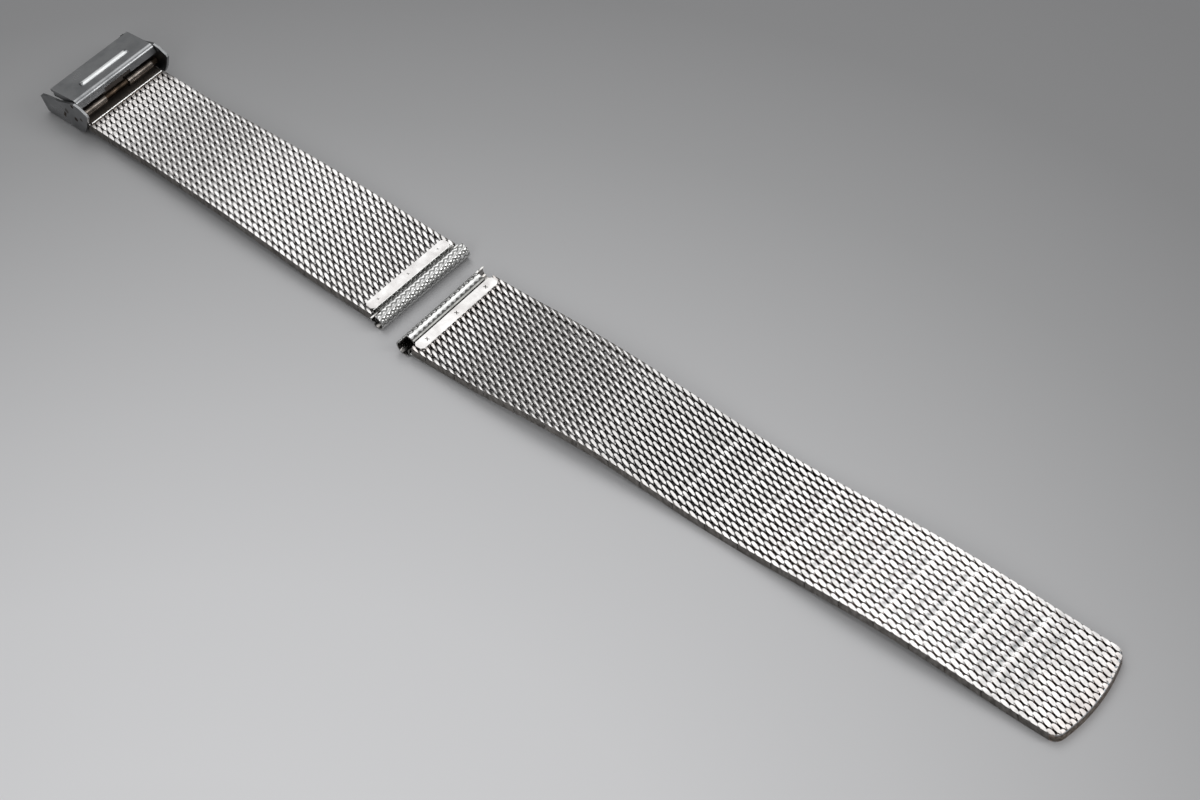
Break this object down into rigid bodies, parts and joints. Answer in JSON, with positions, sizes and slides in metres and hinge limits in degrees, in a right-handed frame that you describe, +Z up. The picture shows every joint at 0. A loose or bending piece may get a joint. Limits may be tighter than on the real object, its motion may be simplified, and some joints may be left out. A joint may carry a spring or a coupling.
{
  "type": "milanese mesh watch band",
  "caption": "Woven steel mesh watch band in two straps: sheet-rolled lug ends for spring bars, a rounded tail and a hinged sliding clasp with a hooked cover.",
  "frame": {"origin": "middle of the long strap's spring bar bore", "axes": "+X along the long strap to its rounded tip, +Y across it along the bore, +Z up from the table, on the side of the clasp's cover"},
  "size_m": [0.1976, 0.0212, 0.0061],
  "materials": {
    "mesh_steel": "polished woven wire",
    "lug_steel": "stamped wavy texture, polished",
    "strip_steel": "polished flat",
    "clasp_steel": "satin, a little worn",
    "pin_steel": "turned"
  },
  "bodies": {
    "lug_ends": {"long_lug_tube": "lug_steel", "long_lug_strip": "strip_steel", "long_lug_mesh": "mesh_steel", "short_lug_tube": "lug_steel", "short_lug_strip": "strip_steel", "short_lug_mesh": "mesh_steel"},
    "long_link_01": {"long_link_01": "mesh_steel"},
    "long_link_02": {"long_link_02": "mesh_steel"},
    "long_link_03": {"long_link_03": "mesh_steel"},
    "long_link_04": {"long_link_04": "mesh_steel"},
    "long_link_05": {"long_link_05": "mesh_steel"},
    "long_link_06": {"long_link_06": "mesh_steel"},
    "long_link_07": {"long_link_07": "mesh_steel"},
    "long_link_08": {"long_link_08": "mesh_steel"},
    "long_link_09": {"long_link_09": "mesh_steel"},
    "long_link_10": {"long_link_10": "mesh_steel"},
    "long_link_11": {"long_link_11": "mesh_steel"},
    "long_link_12": {"long_link_12": "mesh_steel"},
    "long_link_13": {"long_link_13": "mesh_steel"},
    "long_link_14": {"long_link_14": "mesh_steel"},
    "long_link_15": {"long_link_15": "mesh_steel"},
    "long_link_16": {"long_link_16": "mesh_steel"},
    "long_link_17": {"long_link_17": "mesh_steel"},
    "long_link_18": {"long_link_18": "mesh_steel"},
    "long_link_19": {"long_link_19": "mesh_steel"},
    "short_link_01": {"short_link_01": "mesh_steel"},
    "short_link_02": {"short_link_02": "mesh_steel"},
    "short_link_03": {"short_link_03": "mesh_steel"},
    "short_link_04": {"short_link_04": "mesh_steel"},
    "short_link_05": {"short_link_05": "mesh_steel"},
    "short_link_06": {"short_link_06": "mesh_steel"},
    "short_link_07": {"short_link_07": "mesh_steel"},
    "short_link_08": {"short_link_08": "mesh_steel"},
    "short_link_09": {"short_link_09": "mesh_steel"},
    "short_link_10": {"short_link_10": "mesh_steel"},
    "short_end": {"clasp_mesh": "mesh_steel", "clasp_clip": "clasp_steel", "clasp_under_strip": "clasp_steel"},
    "clasp": {"clasp_channel": "clasp_steel", "clasp_bar": "pin_steel", "clasp_cross_plate": "pin_steel", "cover_pin": "pin_steel"},
    "cover": {"cover": "clasp_steel"}
  },
  "joints": [
    {"name": "long_curl", "type": "hinge", "parent": "lug_ends", "child": "long_link_01", "pos_m": [0.00424, 0, -0.00003], "axis": [0, -1, 0], "range_deg": [-4, 15]},
    {"name": "long_hinge_02", "type": "hinge", "parent": "long_link_01", "child": "long_link_02", "pos_m": [0.00997, 0, 0.00008], "axis": [0, -1, 0], "range_deg": [-4, 15]},
    {"name": "long_hinge_03", "type": "hinge", "parent": "long_link_02", "child": "long_link_03", "pos_m": [0.0157, 0, 0.00036], "axis": [0, -1, 0], "range_deg": [-4, 15]},
    {"name": "long_hinge_04", "type": "hinge", "parent": "long_link_03", "child": "long_link_04", "pos_m": [0.02143, 0, 0.00069], "axis": [0, -1, 0], "range_deg": [-4, 15]},
    {"name": "long_hinge_05", "type": "hinge", "parent": "long_link_04", "child": "long_link_05", "pos_m": [0.02716, 0, 0.0009], "axis": [0, -1, 0], "range_deg": [-4, 15]},
    {"name": "long_hinge_06", "type": "hinge", "parent": "long_link_05", "child": "long_link_06", "pos_m": [0.0329, 0, 0.00088], "axis": [0, -1, 0], "range_deg": [-4, 15]},
    {"name": "long_hinge_07", "type": "hinge", "parent": "long_link_06", "child": "long_link_07", "pos_m": [0.03863, 0, 0.00062], "axis": [0, -1, 0], "range_deg": [-4, 15]},
    {"name": "long_hinge_08", "type": "hinge", "parent": "long_link_07", "child": "long_link_08", "pos_m": [0.04436, 0, 0.00019], "axis": [0, -1, 0], "range_deg": [-4, 15]},
    {"name": "long_hinge_09", "type": "hinge", "parent": "long_link_08", "child": "long_link_09", "pos_m": [0.05009, 0, -0.00024], "axis": [0, -1, 0], "range_deg": [-4, 15]},
    {"name": "long_hinge_10", "type": "hinge", "parent": "long_link_09", "child": "long_link_10", "pos_m": [0.05582, 0, -0.00051], "axis": [0, -1, 0], "range_deg": [-4, 15]},
    {"name": "long_hinge_11", "type": "hinge", "parent": "long_link_10", "child": "long_link_11", "pos_m": [0.06156, 0, -0.00052], "axis": [0, -1, 0], "range_deg": [-4, 15]},
    {"name": "long_hinge_12", "type": "hinge", "parent": "long_link_11", "child": "long_link_12", "pos_m": [0.06729, 0, -0.00028], "axis": [0, -1, 0], "range_deg": [-4, 15]},
    {"name": "long_hinge_13", "type": "hinge", "parent": "long_link_12", "child": "long_link_13", "pos_m": [0.07302, 0, 0.0001], "axis": [0, -1, 0], "range_deg": [-4, 15]},
    {"name": "long_hinge_14", "type": "hinge", "parent": "long_link_13", "child": "long_link_14", "pos_m": [0.07875, 0, 0.00046], "axis": [0, -1, 0], "range_deg": [-4, 15]},
    {"name": "long_hinge_15", "type": "hinge", "parent": "long_link_14", "child": "long_link_15", "pos_m": [0.08448, 0, 0.00064], "axis": [0, -1, 0], "range_deg": [-4, 15]},
    {"name": "long_hinge_16", "type": "hinge", "parent": "long_link_15", "child": "long_link_16", "pos_m": [0.09022, 0, 0.00058], "axis": [0, -1, 0], "range_deg": [-4, 15]},
    {"name": "long_hinge_17", "type": "hinge", "parent": "long_link_16", "child": "long_link_17", "pos_m": [0.09595, 0, 0.00029], "axis": [0, -1, 0], "range_deg": [-4, 15]},
    {"name": "long_hinge_18", "type": "hinge", "parent": "long_link_17", "child": "long_link_18", "pos_m": [0.10168, 0, -0.0001], "axis": [0, -1, 0], "range_deg": [-4, 15]},
    {"name": "long_hinge_19", "type": "hinge", "parent": "long_link_18", "child": "long_link_19", "pos_m": [0.10741, 0, -0.00042], "axis": [0, -1, 0], "range_deg": [-4, 15]},
    {"name": "short_curl", "type": "hinge", "parent": "lug_ends", "child": "short_link_01", "pos_m": [-0.01068, 0.0015, -0.00003], "axis": [0.0232, 0.9997, 0], "range_deg": [-4, 12]},
    {"name": "short_hinge_02", "type": "hinge", "parent": "short_link_01", "child": "short_link_02", "pos_m": [-0.01642, 0.00163, 0.00003], "axis": [0.0232, 0.9997, 0], "range_deg": [-4, 12]},
    {"name": "short_hinge_03", "type": "hinge", "parent": "short_link_02", "child": "short_link_03", "pos_m": [-0.02215, 0.00176, 0.0002], "axis": [0.0232, 0.9997, 0], "range_deg": [-4, 12]},
    {"name": "short_hinge_04", "type": "hinge", "parent": "short_link_03", "child": "short_link_04", "pos_m": [-0.02788, 0.0019, 0.00041], "axis": [0.0232, 0.9997, 0], "range_deg": [-4, 12]},
    {"name": "short_hinge_05", "type": "hinge", "parent": "short_link_04", "child": "short_link_05", "pos_m": [-0.03361, 0.00203, 0.0006], "axis": [0.0232, 0.9997, 0], "range_deg": [-4, 12]},
    {"name": "short_hinge_06", "type": "hinge", "parent": "short_link_05", "child": "short_link_06", "pos_m": [-0.03934, 0.00216, 0.00071], "axis": [0.0232, 0.9997, 0], "range_deg": [-4, 12]},
    {"name": "short_hinge_07", "type": "hinge", "parent": "short_link_06", "child": "short_link_07", "pos_m": [-0.04507, 0.0023, 0.00071], "axis": [0.0232, 0.9997, 0], "range_deg": [-4, 12]},
    {"name": "short_hinge_08", "type": "hinge", "parent": "short_link_07", "child": "short_link_08", "pos_m": [-0.0508, 0.00243, 0.00063], "axis": [0.0232, 0.9997, 0], "range_deg": [-4, 12]},
    {"name": "short_hinge_09", "type": "hinge", "parent": "short_link_08", "child": "short_link_09", "pos_m": [-0.05653, 0.00256, 0.0005], "axis": [0.0232, 0.9997, 0], "range_deg": [-4, 12]},
    {"name": "short_hinge_10", "type": "hinge", "parent": "short_link_09", "child": "short_link_10", "pos_m": [-0.06226, 0.0027, 0.00039], "axis": [0.0232, 0.9997, 0], "range_deg": [-4, 12]},
    {"name": "short_hinge_11", "type": "hinge", "parent": "short_link_10", "child": "short_end", "pos_m": [-0.06799, 0.00283, 0.00035], "axis": [0.0232, 0.9997, 0], "range_deg": [-4, 12]},
    {"name": "clasp_swing", "type": "hinge", "parent": "short_end", "child": "clasp", "pos_m": [-0.07469, 0.00298, 0.00135], "axis": [0.0232, 0.9997, 0], "range_deg": [-20, 40]},
    {"name": "cover_lever", "type": "hinge", "parent": "clasp", "child": "cover", "pos_m": [-0.07474, 0.00299, 0.00403], "axis": [0.0232, 0.9997, 0], "range_deg": [0, 100]}
  ],
  "couplings": [
    {"joint": "long_hinge_02", "follows": "long_curl", "ratio": 1},
    {"joint": "long_hinge_03", "follows": "long_curl", "ratio": 1},
    {"joint": "long_hinge_04", "follows": "long_curl", "ratio": 1},
    {"joint": "long_hinge_05", "follows": "long_curl", "ratio": 1},
    {"joint": "long_hinge_06", "follows": "long_curl", "ratio": 1},
    {"joint": "long_hinge_07", "follows": "long_curl", "ratio": 1},
    {"joint": "long_hinge_08", "follows": "long_curl", "ratio": 1},
    {"joint": "long_hinge_09", "follows": "long_curl", "ratio": 1},
    {"joint": "long_hinge_10", "follows": "long_curl", "ratio": 1},
    {"joint": "long_hinge_11", "follows": "long_curl", "ratio": 1},
    {"joint": "long_hinge_12", "follows": "long_curl", "ratio": 1},
    {"joint": "long_hinge_13", "follows": "long_curl", "ratio": 1},
    {"joint": "long_hinge_14", "follows": "long_curl", "ratio": 1},
    {"joint": "long_hinge_15", "follows": "long_curl", "ratio": 1},
    {"joint": "long_hinge_16", "follows": "long_curl", "ratio": 1},
    {"joint": "long_hinge_17", "follows": "long_curl", "ratio": 1},
    {"joint": "long_hinge_18", "follows": "long_curl", "ratio": 1},
    {"joint": "long_hinge_19", "follows": "long_curl", "ratio": 1},
    {"joint": "short_hinge_02", "follows": "short_curl", "ratio": 1},
    {"joint": "short_hinge_03", "follows": "short_curl", "ratio": 1},
    {"joint": "short_hinge_04", "follows": "short_curl", "ratio": 1},
    {"joint": "short_hinge_05", "follows": "short_curl", "ratio": 1},
    {"joint": "short_hinge_06", "follows": "short_curl", "ratio": 1},
    {"joint": "short_hinge_07", "follows": "short_curl", "ratio": 1},
    {"joint": "short_hinge_08", "follows": "short_curl", "ratio": 1},
    {"joint": "short_hinge_09", "follows": "short_curl", "ratio": 1},
    {"joint": "short_hinge_10", "follows": "short_curl", "ratio": 1},
    {"joint": "short_hinge_11", "follows": "short_curl", "ratio": 1}
  ]
}
